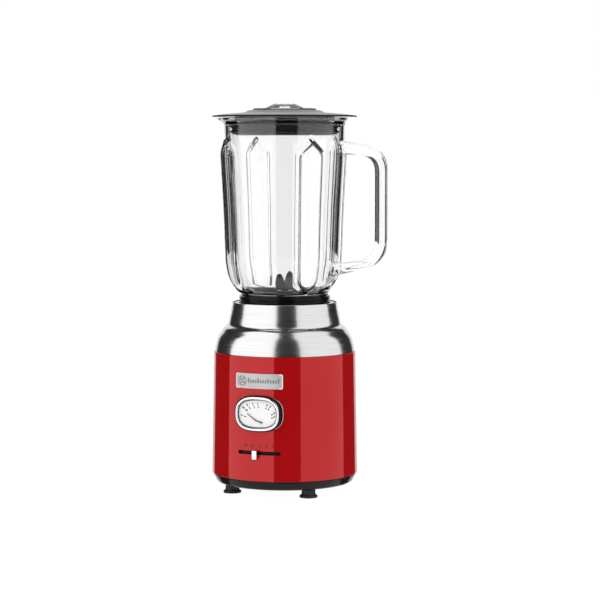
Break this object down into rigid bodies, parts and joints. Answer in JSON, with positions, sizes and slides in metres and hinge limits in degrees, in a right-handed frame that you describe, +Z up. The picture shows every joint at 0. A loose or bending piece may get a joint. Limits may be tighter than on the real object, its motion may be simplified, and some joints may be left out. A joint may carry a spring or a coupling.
{
  "type": "countertop blender",
  "caption": "Countertop blender: round enamelled motor base with a brushed steel shoulder, lobed glass jar with a side handle, black lid and clear measuring cap.",
  "frame": {"origin": "centre of the object's bounding box at the tabletop; the motor's axis is 17.25 mm towards -X", "axes": "+Z up along the motor's axis, -Y towards the front with the dial, +X towards the jar's handle"},
  "size_m": [0.1854, 0.1602, 0.4],
  "materials": {
    "red_paint": "glossy enamel",
    "brushed_steel": "fine horizontal brushing",
    "black_plastic": "satin gloss",
    "inner_plastic": "moulded, matt",
    "rubber": "soft, matt",
    "screw_steel": "zinc plated",
    "silver_badge": "satin, with a polished rim",
    "chrome": "polished plating",
    "dial_lens": "clear",
    "dial_white": "satin silver white with a printed scale",
    "needle_black": "gloss",
    "movement_metal": "drawn can",
    "circuit_board": "board",
    "capacitor": "moulded block",
    "stator_iron": "stacked sheets",
    "copper": "enamelled wire and copper",
    "bracket_aluminium": "die cast",
    "bearing_steel": "ground steel",
    "brass": "turned",
    "jar_glass": "clear pressed glass",
    "blade_steel": "ground edges",
    "clear_cap": "clear moulded plastic"
  },
  "bodies": {
    "base": {"base_housing": "red_paint", "shoulder_cover": "brushed_steel", "base_plate": "black_plastic", "jar_seat": "black_plastic", "cord_gland": "black_plastic", "badge_plate": "silver_badge", "dial_bezel": "chrome", "dial_lens": "dial_lens", "control_board": "circuit_board", "suppression_capacitor": "capacitor", "interlock_plunger": "inner_plastic", "interlock_switch": "inner_plastic", "motor_frame": "inner_plastic", "motor_stator": "stator_iron", "field_coil_left": "copper", "field_coil_right": "copper", "motor_bracket_upper": "bracket_aluminium", "motor_bracket_lower": "bracket_aluminium", "bearing_upper": "bearing_steel", "bearing_lower": "bearing_steel", "brush_holder_left": "brass", "brush_holder_right": "brass", "motor_damper_left": "rubber", "motor_damper_right": "rubber", "needle_movement": "movement_metal", "dial_case": "inner_plastic", "dial_face": "dial_white", "switch_track": "inner_plastic", "speed_switch": "inner_plastic", "foot_front_right": "rubber", "foot_front_left": "rubber", "foot_rear_left": "rubber", "foot_rear_right": "rubber", "base_screw_front_right": "screw_steel", "base_screw_front_left": "screw_steel", "base_screw_rear_left": "screw_steel", "base_screw_rear_right": "screw_steel"},
    "rotor": {"motor_shaft": "bearing_steel", "rotor_armature": "copper", "commutator": "copper", "cooling_fan": "inner_plastic", "drive_coupling": "rubber"},
    "speed_slider": {"speed_knob": "chrome", "speed_shutter": "inner_plastic"},
    "needle": {"dial_needle": "needle_black"},
    "jar": {"jar_glass": "jar_glass", "jar_collar": "black_plastic", "jar_gasket": "rubber", "blade_base": "inner_plastic", "blade_bushing": "brass"},
    "blades": {"blade_shaft": "blade_steel", "upper_blade": "blade_steel", "lower_blade": "blade_steel", "blade_nut": "blade_steel", "driven_coupling": "inner_plastic"},
    "lid": {"lid": "black_plastic", "lid_seal": "rubber"},
    "cap": {"measuring_cap": "clear_cap"}
  },
  "joints": [
    {"name": "motor_spin", "type": "hinge", "parent": "base", "child": "rotor", "pos_m": [-0.01725, 0, 0.1], "axis": [0, 0, 1], "continuous": true},
    {"name": "speed_slide", "type": "hinge", "parent": "base", "child": "speed_slider", "pos_m": [-0.01725, 0, 0.0474], "axis": [0, 0, 1], "range_deg": [-9, 13.3]},
    {"name": "needle_swing", "type": "hinge", "parent": "base", "child": "needle", "pos_m": [-0.01325, -0.076, 0.079], "axis": [0, 1, 0], "range_deg": [0, 110], "stiffness_Nm_per_rad": 0.00001, "springref_deg": -11.46},
    {"name": "jar_lift", "type": "slide", "parent": "base", "child": "jar", "axis": [0, 0, 1], "range_m": [0, 0.07]},
    {"name": "blade_spin", "type": "hinge", "parent": "jar", "child": "blades", "pos_m": [-0.01725, 0, 0.19], "axis": [0, 0, 1], "continuous": true},
    {"name": "lid_lift", "type": "slide", "parent": "jar", "child": "lid", "axis": [0, 0, 1], "range_m": [0, 0.05]},
    {"name": "cap_lift", "type": "slide", "parent": "lid", "child": "cap", "axis": [0, 0, 1], "range_m": [0, 0.05]}
  ],
  "couplings": [
    {"joint": "blade_spin", "follows": "motor_spin", "ratio": 1}
  ]
}
